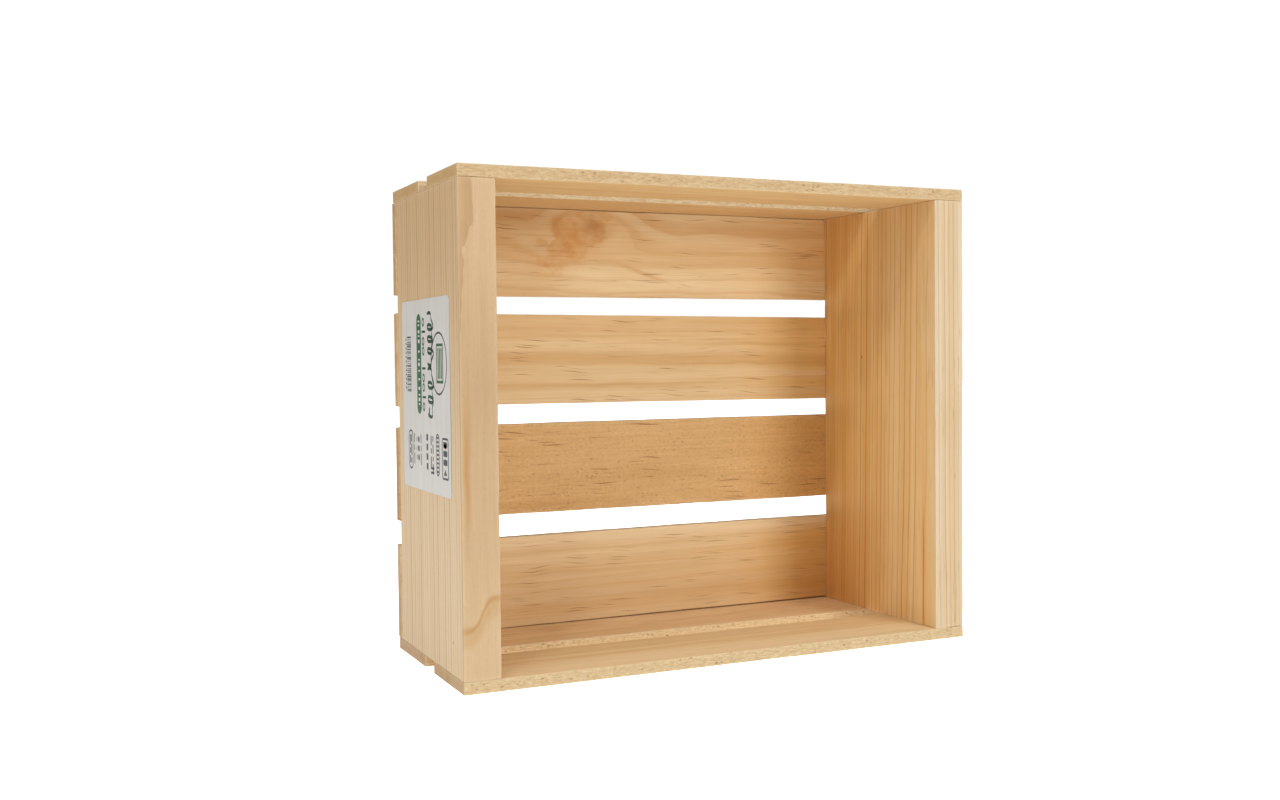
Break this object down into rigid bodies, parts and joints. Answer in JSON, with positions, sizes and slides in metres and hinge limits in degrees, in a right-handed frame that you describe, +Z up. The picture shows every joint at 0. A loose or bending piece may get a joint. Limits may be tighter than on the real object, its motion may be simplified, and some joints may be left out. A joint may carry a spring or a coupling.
{
  "type": "wooden apple crate",
  "caption": "Small half-depth slatted wooden crate, nailed from pine boards, standing on its long side with its open mouth to the front.",
  "frame": {"origin": "bottom centre of the crate as it stands on its long side", "axes": "+X along the crate's length, +Y from the open mouth to the slatted back, +Z up"},
  "size_m": [0.2975, 0.1206, 0.255],
  "materials": {
    "panel_pine": "matte",
    "side_slat_pine": "matte",
    "back_slat_pine": "matte",
    "dark_slat_pine": "matte",
    "brad_steel": "satin",
    "label_paper": "satin"
  },
  "bodies": {
    "root": {"end_panel_left": "panel_pine", "end_panel_right": "panel_pine", "top_slat_front": "side_slat_pine", "top_slat_rear": "side_slat_pine", "bottom_slat_front": "side_slat_pine", "bottom_slat_rear": "side_slat_pine", "back_slat_1": "back_slat_pine", "back_slat_2": "back_slat_pine", "back_slat_3": "dark_slat_pine", "back_slat_4": "back_slat_pine", "brad_top_slat_front_left_a": "brad_steel", "brad_top_slat_front_left_b": "brad_steel", "brad_top_slat_front_right_a": "brad_steel", "brad_top_slat_front_right_b": "brad_steel", "brad_top_slat_rear_left_a": "brad_steel", "brad_top_slat_rear_left_b": "brad_steel", "brad_top_slat_rear_right_a": "brad_steel", "brad_top_slat_rear_right_b": "brad_steel", "brad_bottom_slat_front_left_a": "brad_steel", "brad_bottom_slat_front_left_b": "brad_steel", "brad_bottom_slat_front_right_a": "brad_steel", "brad_bottom_slat_front_right_b": "brad_steel", "brad_bottom_slat_rear_left_a": "brad_steel", "brad_bottom_slat_rear_left_b": "brad_steel", "brad_bottom_slat_rear_right_a": "brad_steel", "brad_bottom_slat_rear_right_b": "brad_steel", "brad_back_slat_1_left_a": "brad_steel", "brad_back_slat_1_left_b": "brad_steel", "brad_back_slat_1_right_a": "brad_steel", "brad_back_slat_1_right_b": "brad_steel", "brad_back_slat_2_left_a": "brad_steel", "brad_back_slat_2_left_b": "brad_steel", "brad_back_slat_2_right_a": "brad_steel", "brad_back_slat_2_right_b": "brad_steel", "brad_back_slat_3_left_a": "brad_steel", "brad_back_slat_3_left_b": "brad_steel", "brad_back_slat_3_right_a": "brad_steel", "brad_back_slat_3_right_b": "brad_steel", "brad_back_slat_4_left_a": "brad_steel", "brad_back_slat_4_left_b": "brad_steel", "brad_back_slat_4_right_a": "brad_steel", "brad_back_slat_4_right_b": "brad_steel", "label": "label_paper"}
  },
  "joints": []
}
